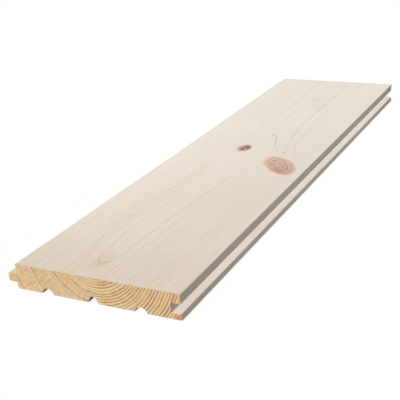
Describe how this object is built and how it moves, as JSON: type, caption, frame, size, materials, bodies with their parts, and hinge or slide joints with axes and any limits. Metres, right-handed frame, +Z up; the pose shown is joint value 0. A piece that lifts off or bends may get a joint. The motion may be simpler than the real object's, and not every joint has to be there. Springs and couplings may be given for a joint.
{
  "type": "tongue and groove board",
  "caption": "White-tinted pine lining board with a tongue along one edge, a groove along the other and relief grooves in its back.",
  "frame": {"origin": "centre of the board's overall box at its underside, level with the floor that it lies on", "axes": "+Y along the board, +X across it from the tongue to the groove, +Z up out of the face"},
  "size_m": [0.1446, 0.545, 0.02],
  "materials": {
    "pine": "planed pine with a matt translucent white tint on the face, tongue and edges; sawn raw ends and a raw planed back"
  },
  "bodies": {
    "root": {"board": "pine"}
  },
  "joints": []
}
